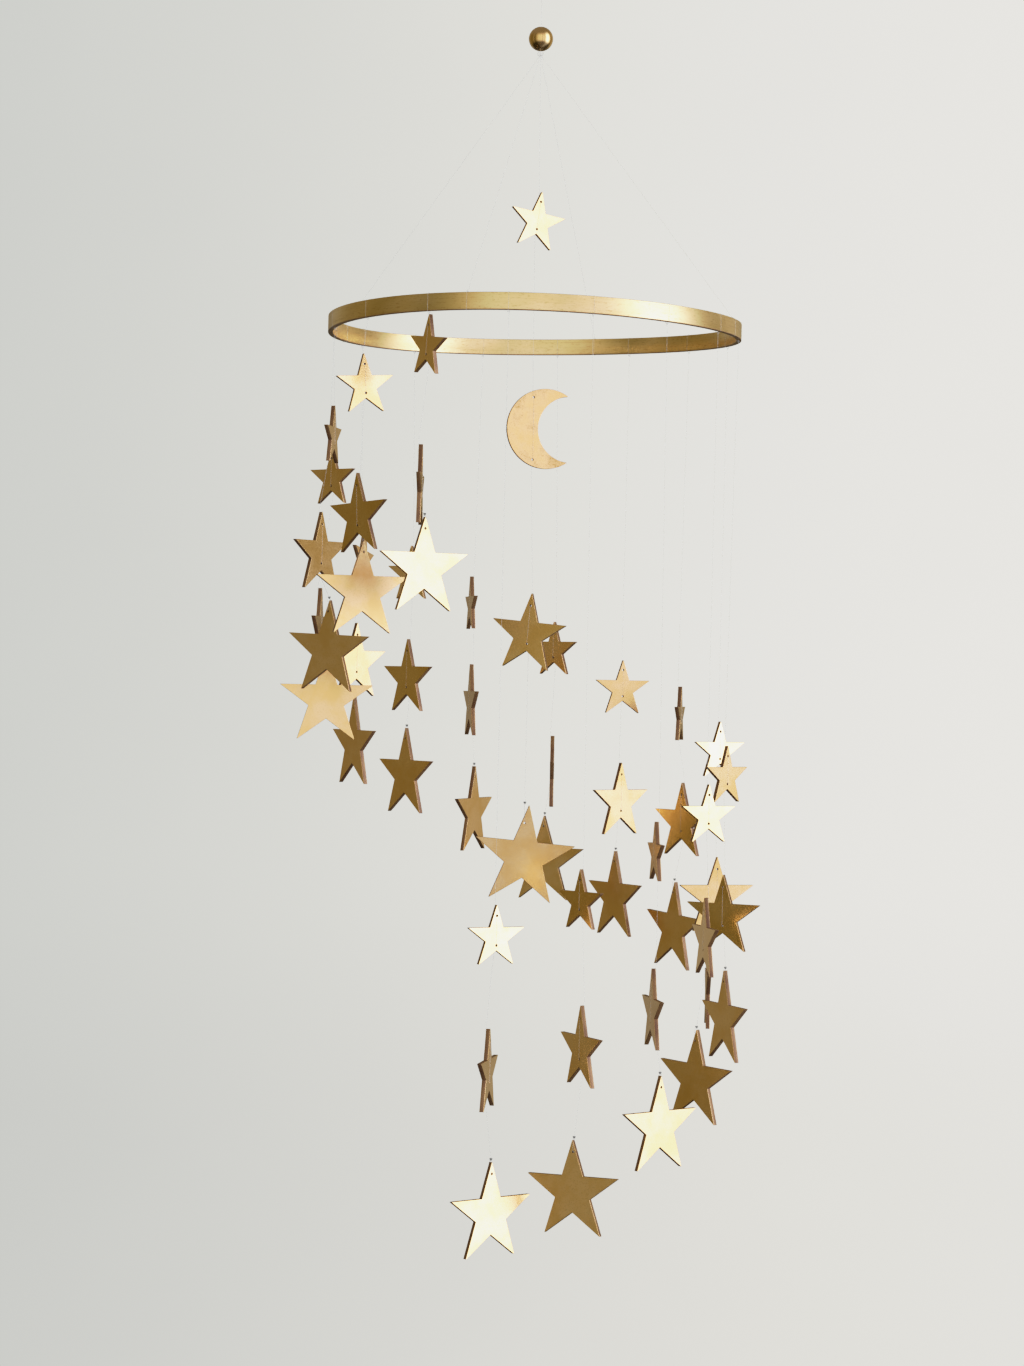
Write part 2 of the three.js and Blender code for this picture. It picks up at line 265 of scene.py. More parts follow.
# %% [markdown]
# The real hoop is a strip of wood, bent and glued into a ring. It has sprung a little out of flat, so its
# height could be traced from the solid corner by corner. The lift at an azimuth repeats twice round the
# hoop, though, so one cosine gives every tie its place on the strip.

# %% Measure the hoop
hoop_low, hoop_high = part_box("hoop")
HOOP_OUTER = (hoop_high.x - hoop_low.x) / 2
HOOP_WALL = 3 * MM
HOOP_INNER = HOOP_OUTER - HOOP_WALL
HOOP_SPRING = 1.5 * MM
HOOP_SPRING_AZIMUTH = math.radians(-22)
HOOP_HEIGHT = hoop_high.z - hoop_low.z - 2 * HOOP_SPRING
HOOP_LEVEL = (hoop_high.z + hoop_low.z) / 2
HANGING_RADIUS = HOOP_OUTER - HOOP_WALL / 2
BAND_OFF = LINE / 2 + 0.1 * MM


def hoop_lift(azimuth):
    """How far the strip has sprung up. Azimuth 0 is the front."""
    return HOOP_SPRING * math.cos(2 * (azimuth - HOOP_SPRING_AZIMUTH))


def beside_band(azimuth, radius, height):
    """A point at a radius and a height from the strip's mid-line."""
    level = HOOP_LEVEL + height + hoop_lift(azimuth)
    return Vector((radius * math.sin(azimuth), -radius * math.cos(azimuth), level))


OVER_BAND = HOOP_HEIGHT / 2 + BAND_OFF
FIRST_STRAND = math.radians(-29.75)
STRAND_STEP = 2 * math.pi / STRANDS
print("hoop", round(2 * HOOP_OUTER / MM), "mm across,", round(HOOP_HEIGHT / MM, 1), "mm high")

# %% [markdown]
# Each strand goes round the strip once, is knotted under its middle and runs down through its three
# stars. Drawing sixteen routes by hand would be slow and uneven, so the route is a list of corners that
# follows from the strand's azimuth and from where its stars hang.

# %% Hang the sixteen strands
KNOT_RADIUS = 0.75 * MM


def strand_tie(azimuth):
    """The turn round the strip, from the tail up the outside and down the inside."""
    outside, inside = HOOP_OUTER + BAND_OFF, HOOP_INNER - BAND_OFF
    return [
        beside_band(azimuth, outside, -OVER_BAND), beside_band(azimuth, outside, OVER_BAND),
        beside_band(azimuth, inside, OVER_BAND), beside_band(azimuth, inside, -OVER_BAND),
        beside_band(azimuth, HANGING_RADIUS, -OVER_BAND - KNOT_RADIUS),
    ]


def run_length(route):
    """The length of a route along its corners."""
    return sum((b - a).length for a, b in zip(route, route[1:]))


line_pieces = []
for index, (small, medium, large) in enumerate(strands):
    number = f"{index + 1:02d}"
    azimuth = FIRST_STRAND - STRAND_STEP * index
    corners = strand_tie(azimuth) + through_star(small, "small") + through_star(medium, "medium")
    route = rounded(corners + [end_of_line(large)])
    strand = line_piece(f"strand_{number}", route)
    ties = [
        line_piece(f"strand_knot_{number}", trefoil(corners[4], KNOT_RADIUS), closed=True),
        line_piece(f"star_knot_{number}", trefoil(end_of_line(large), KNOT_RADIUS), closed=True),
        star_loop(f"star_loop_{number}", large, "large"),
    ]
    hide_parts(f"strand_line_{index // 4 + 1}")
    round(run_length(route), 4)
    line_pieces += [strand, *ties]
print("the longest strand is", round(run_length(route) / MM), "mm")

# %% [markdown]
# A bead sits above the hoop, and a crescent moon hangs in the middle below it. The bead's place is that of
# its solid, and a knot under it gathers the lines. The moon's solid is a disc with a bite out of its
# right side, so its middle can't be the mean of its corners: it lies one radius in from the left edge.

# %% Find the bead and the moon
bead_low, bead_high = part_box("bead")
BEAD_RADIUS = (bead_high.z - bead_low.z) / 2
bead_middle = (bead_low + bead_high) / 2
GATHER_KNOT = 1.9 * MM
gather = Vector((0, 0, bead_low.z - LINE_CLEAR - GATHER_KNOT))
MOON_HOLE_BELOW_RIM = 4 * MM
MOON_RADIUS = 24.25 * MM
MOON_HOLE_OFFSET = 8 * MM

moon = Seat("crescent_moon")
moon_level = (max(p.y for p in moon.rim) + min(p.y for p in moon.rim)) / 2
moon.settle(Vector((min(p.x for p in moon.rim) + MOON_RADIUS, moon_level)))
moon_rim = math.sqrt(MOON_RADIUS ** 2 - MOON_HOLE_OFFSET ** 2)
moon_holes = [
    Vector((-MOON_HOLE_OFFSET, side * (moon_rim - MOON_HOLE_BELOW_RIM))) for side in (1, -1)
]
print("moon turned by", round(math.degrees(moon.turn)), "degrees")

# %% [markdown]
# One line runs down the middle, from the gathering knot through the top star, the moon and the medium star
# to the largest star, which hangs in a loop like the others. It is built like a strand, without a tie.

# %% Hang the centre line
top_star, centre_medium, centre_large = centre_stars
centre_corners = [gather, *through_star(top_star, "small"), *through(moon, moon_holes, moon_rim, -moon_rim)]
centre_corners += [*through_star(centre_medium, "medium"), end_of_line(centre_large)]
centre_route = rounded(centre_corners)
centre_line = line_piece("centre_line", centre_route)
centre_ties = [
    line_piece("centre_star_knot", trefoil(end_of_line(centre_large), KNOT_RADIUS), closed=True),
    star_loop("centre_star_loop", centre_large, "extra"),
]
print("centre line", round(run_length(centre_route) / MM), "mm")

# %% [markdown]
# One line goes from the gathering knot up through the bead to the loop that the mobile hangs by. The view
# cuts the hanging line off just under its loop, so the loop is small and ends just outside the view. A
# pulled loop is a drop: narrow at its knot and round at the top, which a circle stretched upwards gives.

# %% Hang the loop
LOOP_HEIGHT = 14 * MM
LOOP_WIDTH = 8 * MM
LOOP_STEPS = 36

loop_route = []
for step in range(LOOP_STEPS + 1):
    angle = 2 * math.pi * step / LOOP_STEPS
    across = (LOOP_WIDTH / 2 - LINE / 2) * math.sin(angle)
    down = LINE / 2 + (LOOP_HEIGHT - LINE / 2) * (1 + math.cos(angle)) / 2
    loop_route.append(Vector((across, 0, -down)))
hanging_route = [gather, Vector((0, 0, -LOOP_HEIGHT))]
hanging = line_piece("hanging_line_above_bead", hanging_route)
loop = line_piece("hanging_loop", loop_route)
loop_knot = line_piece("hanging_loop_knot", trefoil(Vector((0, 0, -LOOP_HEIGHT)), KNOT_RADIUS), closed=True)
gather_route = trefoil(gather, GATHER_KNOT, flatness=0.8)
gather_knot = line_piece("gather_knot", gather_route, closed=True, thickness=2 * LINE)

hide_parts("hanging_line")
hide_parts("hanging_line")
run_length(hanging_route)
round(run_length(centre_route), 4)
line_pieces += [centre_line, *centre_ties, hanging, loop, loop_knot, gather_knot]
print("hanging line", round(run_length(hanging_route) / MM), "mm")

# %% [markdown]
# A bridle of four legs carries the hoop. Each leg comes down from the gathering knot on the strip's top
# edge, goes round the strip and is knotted. Three legs would hold it level too, but with four each leg
# carries four strands and comes down midway between two of them.

# %% Tie the legs of the bridle
LEGS = 4

for leg in range(LEGS):
    azimuth = FIRST_STRAND + STRAND_STEP / 2 - 2 * math.pi * leg / LEGS
    outside, inside = HOOP_OUTER + BAND_OFF, HOOP_INNER - BAND_OFF
    corners = [
        gather, beside_band(azimuth, HANGING_RADIUS, OVER_BAND), beside_band(azimuth, outside, OVER_BAND),
        beside_band(azimuth, outside, -OVER_BAND), beside_band(azimuth, inside, -OVER_BAND),
        beside_band(azimuth, inside, OVER_BAND),
    ]
    route = rounded(corners)
    bridle = line_piece(f"bridle_leg_{leg + 1}", route)
    knot = line_piece(f"bridle_knot_{leg + 1}", trefoil(corners[1], KNOT_RADIUS), closed=True)
    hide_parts("hanging_line")
    round(run_length(route), 4)
    line_pieces += [bridle, knot]
print("bridle legs of", round(run_length(route) / MM), "mm")

# %% [markdown]
# A cut board has two flat faces and a wall between them, and paint softens the rim where they meet. One
# builder serves stars and moon: every outline, holes included, becomes a stack of rings that follow a
# small quarter round from face to wall and back, and the two faces are filled between outline and holes.
# Rings follow the outline by an inset along the corner's bisector, which stays true while the inset is
# smaller than the rounding of the tips.

# %% Build a cut board
RIM = 0.12 * MM
RIM_STEPS = 2
HOLE_RADIUS = 0.7 * MM
HOLE_SIDES = 16
FACE, WALL = 0, 1


def ring_points(centre, radius, sides, clockwise=False):
    """Points evenly round a centre."""
    turn = -1 if clockwise else 1
    angles = [turn * 2 * math.pi * side / sides for side in range(sides)]
    return [centre + Vector((math.cos(a), math.sin(a))) * radius for a in angles]


def inset(outline, distance):
    """The outline, moved into the material on its left by this distance."""
    moved = []
    for before, corner, after in zip(outline[-1:] + outline[:-1], outline, outline[1:] + outline[:1]):
        arriving, leaving = (corner - before).normalized(), (after - corner).normalized()
        first, second = Vector((-arriving.y, arriving.x)), Vector((-leaving.y, leaving.x))
        moved.append(corner + (first + second) * distance / (1 + first.dot(second)))
    return moved


def rim_profile(half):
    """Inset and depth of each ring, from the front face round the wall to the back face."""
    quarter = [
        (RIM * (1 - math.sin(a)), RIM * (1 - math.cos(a)))
        for a in (math.pi / 2 * step / RIM_STEPS for step in range(RIM_STEPS + 1))
    ]
    front = [(distance, rise - half) for distance, rise in quarter]
    return front + [(distance, -depth) for distance, depth in reversed(front)]


def board_piece(name, seat, outline, holes, finishes):
    """A flat piece with soft rims and round holes, in the place of its node."""
    loops = [outline] + [ring_points(hole, HOLE_RADIUS, HOLE_SIDES, clockwise=True) for hole in holes]
    shape = bmesh.new()
    caps = {0: [], -1: []}
    for loop in loops:
        rings = []
        for distance, depth in rim_profile(seat.thickness / 2):
            rings.append([shape.verts.new((p.x, depth, p.y)) for p in inset(loop, distance)])
        for level, (ring, following) in enumerate(zip(rings, rings[1:])):
            for side in range(len(loop)):
                ahead = (side + 1) % len(loop)
                face = shape.faces.new((ring[side], following[side], following[ahead], ring[ahead]))
                face.material_index = WALL if level == RIM_STEPS else FACE
                face.smooth = True
        for end in caps:
            caps[end].append(rings[end])
    for end, rings in caps.items():
        flat = [[Vector((v.co.x, v.co.z, 0)) for v in ring] for ring in rings]
        corners = [v for ring in rings for v in ring]
        for triangle in geometry.tessellate_polygon(flat):
            shape.faces.new([corners[i] for i in triangle]).material_index = FACE
    bmesh.ops.recalc_face_normals(shape, faces=shape.faces)
    mesh = bpy.data.meshes.new(name)
    shape.to_mesh(mesh)
    shape.free()
    piece = bpy.data.objects.new(name, mesh)
    piece.matrix_world = seat.matrix
    bpy.context.scene.collection.objects.link(piece)
    for finish in finishes:
        mesh.materials.append(finish)
    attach(piece, BODY)
    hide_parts(seat.node)
    return piece


print("a board's wall has", len(rim_profile(MM)), "rings")

# %% [markdown]
# A laser leaves every corner slightly round, because its beam has a width. A bevel could soften the
# corners afterwards, but it would touch the holes too. So each corner of the outline is replaced by a short
# arc that is tangent to both of its sides.

# %% Soften a corner
TIP_STEPS = 5


def soft_corner(before, corner, after, radius, steps=TIP_STEPS):
    """An arc of this radius in place of a corner."""
    back, ahead = (before - corner).normalized(), (after - corner).normalized()
    half_angle = back.angle(ahead) / 2
    centre = corner + (back + ahead).normalized() * radius / math.sin(half_angle)
    start = corner + back * radius / math.tan(half_angle) - centre
    sweep = math.pi - 2 * half_angle
    if back.x * ahead.y - back.y * ahead.x > 0:
        sweep = -sweep
    turned = []
    for step in range(steps):
        angle = sweep * step / (steps - 1)
        c, s = math.cos(angle), math.sin(angle)
        turned.append(centre + Vector((c * start.x - s * start.y, s * start.x + c * start.y)))
    return turned


print("a soft corner has", TIP_STEPS, "points")

# %% [markdown]
# The stars are five-pointed, with straight sides and all arms alike. Ten corners on two circles give that
# shape, turned by the lean, and the notches are a little rounder than the tips.

# %% Draw a star
TIP_RADIUS = 0.16 * MM
NOTCH_RADIUS = 0.3 * MM
ARMS = 5


def star_outline(seat):
    """The outline of a star about its middle, in its own front view."""
    corners = []
    for corner in range(2 * ARMS):
        radius = seat.reach if corner % 2 == 0 else seat.reach * NOTCH_SHARE
        angle = math.pi / 2 + math.pi / ARMS * corner - seat.lean
        corners.append(Vector((math.cos(angle), math.sin(angle))) * radius)
    outline = []
    for i, corner in enumerate(corners):
        radius = TIP_RADIUS if i % 2 == 0 else NOTCH_RADIUS
        outline += soft_corner(corners[i - 1], corner, corners[(i + 1) % len(corners)], radius)
    return outline


print("a star's outline has", len(star_outline(top_star)), "points")

# %% [markdown]
# The moon is a disc with a smaller disc cut out of its right side. A boolean cut would leave uneven points
# where the circles meet, so the outline is walked instead: round the outer circle from horn to horn, back
# along the inner one, and with a small arc at either horn.

# %% Draw the moon
MOON_CUT_RADIUS = 20 * MM
MOON_CUT_OFFSET = 15 * MM
MOON_STEPS = 60
HORN_RADIUS = 0.25 * MM


def moon_outline():
    """A disc with a smaller disc cut out of its right side."""
    horn_x = (MOON_RADIUS ** 2 - MOON_CUT_RADIUS ** 2 + MOON_CUT_OFFSET ** 2) / (2 * MOON_CUT_OFFSET)
    outer = math.acos(horn_x / MOON_RADIUS)
    inner = math.acos((horn_x - MOON_CUT_OFFSET) / MOON_CUT_RADIUS)
    outline = []
    for step in range(MOON_STEPS):
        angle = outer + (2 * math.pi - 2 * outer) * step / MOON_STEPS
        outline.append(Vector((math.cos(angle), math.sin(angle))) * MOON_RADIUS)
    for step in range(MOON_STEPS):
        angle = -inner - (2 * math.pi - 2 * inner) * step / MOON_STEPS
        place = Vector((math.cos(angle), math.sin(angle))) * MOON_CUT_RADIUS
        outline.append(place + Vector((MOON_CUT_OFFSET, 0)))
    horns = (0, MOON_STEPS)
    soft = []
    for i, corner in enumerate(outline):
        if i in horns:
            soft += soft_corner(outline[i - 1], corner, outline[i + 1], HORN_RADIUS)
        else:
            soft.append(corner)
    return soft


print("the moon's outline has", len(moon_outline()), "points")

# %% [markdown]
# A finish is easier to read as a sum than as boxes and wires. This class wraps one socket of a shader, so
# that numbers that vary over the surface can be added and multiplied in plain Python, and each sum adds
# its own Math node. The reflected forms let a sum start with a plain number.

# %% Write shader maths as sums
class Varying:
    """A value that varies over a surface."""

    def __init__(self, nodes, socket):
        self.nodes, self.socket = nodes, socket

    def maths(self, operation, *values):
        """One Math node."""
        return self.nodes.add("ShaderNodeMath", {"operation": operation}, dict(enumerate(values)))

    def __add__(self, other):
        return self.maths("ADD", self, other)

    def __sub__(self, other):
        return self.maths("SUBTRACT", self, other)

    def __mul__(self, other):
        return self.maths("MULTIPLY", self, other)

    def __truediv__(self, other):
        return self.maths("DIVIDE", self, other)

    def __radd__(self, other):
        return self.maths("ADD", other, self)

    def __rsub__(self, other):
        return self.maths("SUBTRACT", other, self)

    def __rmul__(self, other):
        return self.maths("MULTIPLY", other, self)

    def between(self, low, high):
        """0 below low, 1 above high, and a smooth rise from one to the other."""
        settings = {"interpolation_type": "SMOOTHSTEP"}
        return self.nodes.add("ShaderNodeMapRange", settings, {0: self, 1: low, 2: high})


print("reflected forms:", [name for name in vars(Varying) if name.startswith("__r")])

# %% [markdown]
# Everything else goes through one method, which takes a node's type, its settings, which are set first,
# and the values or links of its sockets. Colours and places have helpers of their own, because a Math
# node would turn them grey. Wiring the boxes by hand would hide the order in which the paint is built.

# %% Add the other nodes
class Nodes:
    """The nodes of one material or of the world."""

    def __init__(self, tree):
        self.tree = tree
        tree.nodes.clear()

    def add(self, kind, settings=None, inputs=None, output=0):
        """A node with its settings and inputs, wrapped at one of its outputs."""
        node = self.tree.nodes.new(kind)
        for key, value in (settings or {}).items():
            if key == "stops":
                self.fill_ramp(node.color_ramp, value)
            else:
                setattr(node, key, value)
        for key, value in (inputs or {}).items():
            if isinstance(value, Varying):
                self.tree.links.new(value.socket, node.inputs[key])
            else:
                node.inputs[key].default_value = value
        return Varying(self, node.outputs[output] if node.outputs else None)

    def fill_ramp(self, ramp, stops):
        """Replaces a ramp's stops by these."""
        while len(ramp.elements) > 1:
            ramp.elements.remove(ramp.elements[0])
        ramp.elements[0].position, ramp.elements[0].color = stops[0]
        for position, colour in stops[1:]:
            ramp.elements.new(position).color = colour

    def mix(self, share, first, second):
        """One colour to another, by a share from 0 to 1."""
        return self.add("ShaderNodeMix", {"data_type": "RGBA"}, {0: share, 6: first, 7: second}, output=2)

    def noise(self, place, scale, detail=2.0, roughness=0.5):
        """A noise of so many bumps per unit."""
        return self.add("ShaderNodeTexNoise", {}, {
            "Vector": place, "Scale": scale, "Detail": detail, "Roughness": roughness,
        })

    def stretched(self, place, amounts):
        """The place, with each axis multiplied by its own amount."""
        return self.add("ShaderNodeVectorMath", {"operation": "MULTIPLY"}, {0: place, 1: amounts})


print("helpers:", [name for name in vars(Nodes) if not name.startswith("__")])

# %% [markdown]
# Every finish starts from an empty material. Boards from one sheet differ in grain and in wear, so the
# place that the noises read is shifted by where each piece hangs, and no two pieces have the same marks.

# %% Start a finish
SHIFTS = (37.0, 23.0, 11.0)


def new_material(name):
    """An empty material and its nodes."""
    material = bpy.data.materials.new(name)
    material.use_nodes = True
    return material, Nodes(material.node_tree)


def own_place(nodes):
    """A point in the piece's own frame, shifted so that no two pieces have the same marks."""
    place = nodes.add("ShaderNodeTexCoord", output=3)
    home = nodes.add("ShaderNodeObjectInfo")
    shift = nodes.stretched(home, SHIFTS)
    return nodes.add("ShaderNodeVectorMath", {"operation": "ADD"}, {0: place, 1: shift})


print("marks are shifted by", SHIFTS, "times a piece's place")

# %% [markdown]
# Gold paint on board is metal dust in varnish: it mirrors softly, is never quite even, and follows the
# grain and the slow waves of the board below. The colour therefore moves between a warm and a pale gold
# in patches a centimetre or two wide, with fine specks on top, the roughness moves with the patches, and
# the bump is a slow wave with a little grain along the board. The slow wave matters most: it makes a star
# bright in one half and dim in the other. A picture of gilding would look the same from every side, which
# paint doesn't. The same mix serves every painted piece, with its own values: the large stars are flatter
# and a little duller, the centre one is darker, and the moon is the most worn.

# %% Mix the gold paint
PALE_GOLD = (0.98, 0.655, 0.33, 1)
WARM_GOLD = (0.89, 0.55, 0.21, 1)
WORN_GOLD = (0.52, 0.28, 0.09, 1)
PATCHES_PER_METRE = 55
SPECKS_PER_METRE = 1400
WAVES_PER_METRE = 26
GRAIN = (60.0, 400.0, 900.0)


def gold_paint(name, roughness=0.17, wave=0.24, coat=1.0, wear=0.25, stain=0.03):
    """Gold paint of one roughness, waviness, strength and wear."""
    material, nodes = new_material(name)
    place = own_place(nodes)
    patches = nodes.noise(place, PATCHES_PER_METRE, detail=4.0, roughness=0.6)
    specks = nodes.noise(place, SPECKS_PER_METRE, detail=1.0)
    waves = nodes.noise(place, WAVES_PER_METRE, detail=1.0, roughness=0.4)
    grain = nodes.noise(nodes.stretched(place, GRAIN), 1.0, detail=3.0)
    even = nodes.mix(patches.between(0.35, 0.65), WARM_GOLD, PALE_GOLD)
    flecks = specks.between(0.50, 0.75) * patches.between(0.35, 0.6)
    worn = flecks * wear + patches.between(0.45, 0.65) * stain
    colour = nodes.mix(worn, even, WORN_GOLD)
    height = waves * wave + grain * 0.012 + specks * 0.004
    bump = nodes.add("ShaderNodeBump", {}, {"Strength": 1.0, "Distance": MM, "Height": height})
    shader = nodes.add("ShaderNodeBsdfPrincipled", {}, {
        "Base Color": nodes.stretched(colour, (coat, coat, coat)), "Metallic": 1.0, "Normal": bump,
        "Roughness": roughness + 0.08 * patches + 0.05 * grain,
    })
    nodes.add("ShaderNodeOutputMaterial", {}, {0: shader})
    return material


board_gold = gold_paint("board_gold")
thick_gold = gold_paint("thick_gold", roughness=0.27, wave=0.16)
deep_gold = gold_paint("deep_gold", wave=0.08, coat=0.66)
moon_gold = gold_paint("moon_gold", wave=0.4, wear=0.6, stain=0.6)
print("paints:", [paint.name for paint in (board_gold, thick_gold, deep_gold, moon_gold)])

# %% [markdown]
# The walls of the cut are burnt: the beam chars the wood brown, darkest in the middle ply and where it
# slowed down. Some gold has run over the rim, so the walls shine a little, light where they face the
# window and nearly black where they face away. The colour follows the depth in the board, which is the
# piece's own y.

# %% Burn the edges
BURNT = (0.15, 0.062, 0.032, 1)
SCORCHED = (0.35, 0.19, 0.075, 1)
PLY = 0.45 * MM


def burnt_edge(name):
    """Bare wood that a laser has scorched."""
    material, nodes = new_material(name)
    own = nodes.add("ShaderNodeTexCoord", output=3)
    depth = nodes.add("ShaderNodeSeparateXYZ", {}, {0: own}, output=1)
    smoke = nodes.noise(own_place(nodes), 70.0, detail=2.0)
    fibres = nodes.noise(nodes.stretched(own_place(nodes), (1.0, 6.0, 1.0)), 400.0, detail=2.0)
    middle_ply = 1 - depth.maths("ABSOLUTE", depth).between(PLY * 0.8, PLY * 1.2)
    char = smoke.between(0.25, 0.75) * 0.75 + fibres * 0.25
    colour = nodes.mix(char * (1 - 0.25 * middle_ply), BURNT, SCORCHED)
    bump = nodes.add("ShaderNodeBump", {}, {"Strength": 0.3, "Distance": 0.1 * MM, "Height": fibres})
    shader = nodes.add("ShaderNodeBsdfPrincipled", {}, {
        "Base Color": colour, "Metallic": 0.38, "Roughness": 0.36 + 0.12 * fibres, "Normal": bump,
    })
    nodes.add("ShaderNodeOutputMaterial", {}, {0: shader})
    return material


board_edge = burnt_edge("board_edge")
print("edge finish:", board_edge.name)

# %% [markdown]
# The real stars are cut from one sheet and then threaded. Here each piece is cut in its own front view and
# put where its solid hangs, so one short loop over the strands makes them all. Only the paint goes by the
# size.

# %% Cut and hang the stars and the moon
board_pieces = []
for number, strand in enumerate(strands, start=1):
    for size, seat in zip(SIZES, strand):
        holes = star_holes(seat, size)
        name = f"{size}_star_{number:02d}_gilt"
        finishes = (thick_gold if size == "large" else board_gold, board_edge)
        board_pieces.append(board_piece(name, seat, star_outline(seat), holes, finishes))
for size, seat in zip(("small", "medium", "extra"), centre_stars):
    finishes = (deep_gold if size == "extra" else board_gold, board_edge)
    holes = star_holes(seat, size)
    board_pieces.append(board_piece(f"{seat.node}_gilt", seat, star_outline(seat), holes, finishes))
finishes = (moon_gold, board_edge)
board_pieces.append(board_piece("crescent_moon_gilt", moon, moon_outline(), moon_holes, finishes))
print(len(board_pieces), "board pieces,", sum(len(p.data.polygons) for p in board_pieces), "faces")

# %% [markdown]
# The hoop is a strip about 10 mm high and 3 mm thick. Its section, with soft rims, is carried round in
# small steps, and each ring is lifted by the spring of the strip. The section's sides are painted and its
# two edges stay bare, scorched wood. A map of arc length and height goes with the mesh, so that the
# brushed paint can run along the strip.

# %% Bend the hoop
HOOP_STEPS = 288
HOOP_RIM = 0.22 * MM
EDGE_SLOPE = 0.75


def hoop_section():
    """Radius, height and finish of the strip's section, anticlockwise from the outer side."""
    half = HOOP_HEIGHT / 2
    corners = [(HOOP_OUTER, -half), (HOOP_OUTER, half), (HOOP_INNER, half), (HOOP_INNER, -half)]
    points = []
    for i, corner in enumerate(corners):
        before, after = Vector(corners[i - 1]), Vector(corners[(i + 1) % 4])
        points += soft_corner(before, Vector(corner), after, HOOP_RIM, steps=4)
    return points


def turned_mesh(name, section, steps, lift=lambda azimuth: 0.0):
    """A section of radius and height, carried round the upright axis, with a map along and up."""
    shape = bmesh.new()
    chart = shape.loops.layers.uv.new("along_and_up")
    rings = []
    for step in range(steps):
        azimuth = 2 * math.pi * step / steps
        out = Vector((math.sin(azimuth), -math.cos(azimuth), 0))
        rings.append([shape.verts.new(out * p.x + Vector((0, 0, p.y + lift(azimuth)))) for p in section])
    for step, ring in enumerate(rings):
        following = rings[(step + 1) % steps]
        for side in range(len(section)):
            ahead = (side + 1) % len(section)
            face = shape.faces.new((ring[side], ring[ahead], following[ahead], following[side]))
            face.smooth = True
            places = ((step, side), (step, ahead), (step + 1, ahead), (step + 1, side))
            for corner, (around, up) in zip(face.loops, places):
                corner[chart].uv = (2 * math.pi * around / steps * section[0].x, section[up].y)
    bmesh.ops.recalc_face_normals(shape, faces=shape.faces)
    mesh = bpy.data.meshes.new(name)
    shape.to_mesh(mesh)
    shape.free()
    return mesh


hoop_mesh = turned_mesh("hoop_strip", hoop_section(), HOOP_STEPS, hoop_lift)
hoop = bpy.data.objects.new("hoop_strip", hoop_mesh)
hoop.location.z = HOOP_LEVEL
bpy.context.scene.collection.objects.link(hoop)
for face in hoop_mesh.polygons:
    face.material_index = WALL if abs(face.normal.z) > EDGE_SLOPE else FACE
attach(hoop, BODY)
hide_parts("hoop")
print("hoop of", len(hoop_mesh.polygons), "faces")

# %% [markdown]
# The strip's gold was brushed on along its length. The streaks are a noise that is stretched more than a
# hundred times along the strip, handling has worn it in short scratches, and the lower border turns
# reddish and less metallic.

# %% Brush the hoop
BORDER_RED = (0.30, 0.14, 0.065, 1)
PALE_STRIP = (0.93, 0.67, 0.34, 1)
WARM_STRIP = (0.80, 0.55, 0.22, 1)
STREAKS = (9.0, 1500.0, 1.0)
SCRATCHES = (260.0, 900.0, 1.0)
STRIP_PATCHES = (40.0, 120.0, 1.0)
STRIP_WAVES = (22.0, 60.0, 1.0)
LOWER_BORDER = (0.3 * MM, 0.55 * MM)


def along_strip(nodes):
    """A point on the strip: how far along it, and how high."""
    return nodes.add("ShaderNodeUVMap", {"uv_map": "along_and_up"})


def brushed_gold(name):
    """Gold paint that was brushed along the strip."""
    material, nodes = new_material(name)
    chart = along_strip(nodes)
    streaks = nodes.noise(nodes.stretched(chart, STREAKS), 1.0, detail=4.0, roughness=0.6)
    scratches = nodes.noise(nodes.stretched(chart, SCRATCHES), 1.0, detail=4.0, roughness=0.7)
    patches = nodes.noise(nodes.stretched(chart, STRIP_PATCHES), 1.0, detail=3.0)
    waves = nodes.noise(nodes.stretched(chart, STRIP_WAVES), 1.0, detail=1.0)
    height = nodes.add("ShaderNodeSeparateXYZ", {}, {0: chart}, output=1)
    # The lowest band of the strip's side turns reddish and less metallic.
    border = 1 - height.between(*(rise - HOOP_HEIGHT / 2 for rise in LOWER_BORDER))
    even = nodes.mix(patches.between(0.3, 0.7) * 0.6 + streaks * 0.4, WARM_STRIP, PALE_STRIP)
    rubbed = scratches.between(0.52, 0.68) * 0.5 + streaks.between(0.52, 0.72) * 0.4
    worn = nodes.mix(rubbed, even, WORN_GOLD)
    colour = nodes.mix(border * 0.85, worn, BORDER_RED)
    rise = waves * 0.25 + streaks * 0.02 + scratches * 0.004
    bump = nodes.add("ShaderNodeBump", {}, {"Strength": 1.0, "Distance": MM, "Height": rise})
    shader = nodes.add("ShaderNodeBsdfPrincipled", {}, {
        "Base Color": colour, "Metallic": 0.95 - 0.6 * border, "Normal": bump,
        "Roughness": 0.22 + 0.12 * streaks + 0.08 * scratches,
    })
    nodes.add("ShaderNodeOutputMaterial", {}, {0: shader})
    return material


hoop_mesh.materials.append(brushed_gold("hoop_gold"))
hoop_mesh.materials.append(burnt_edge("hoop_edge"))
print("hoop finishes:", [finish.name for finish in hoop_mesh.materials])

# %% [markdown]
# The bead is turned from one ball with a bore for the line. Cutting a hole through a sphere would leave a
# ragged mouth, so its profile is turned as on a lathe: an arc that ends in a small flat round the bore,
# and the bore's wall closes the section, so the ball is a true ring.

# %% Turn the bead
BEAD_BORE_RADIUS = 1.5 * MM
BEAD_STEPS = 64
BEAD_ARC = 28
MOUTH_INSET = 0.995


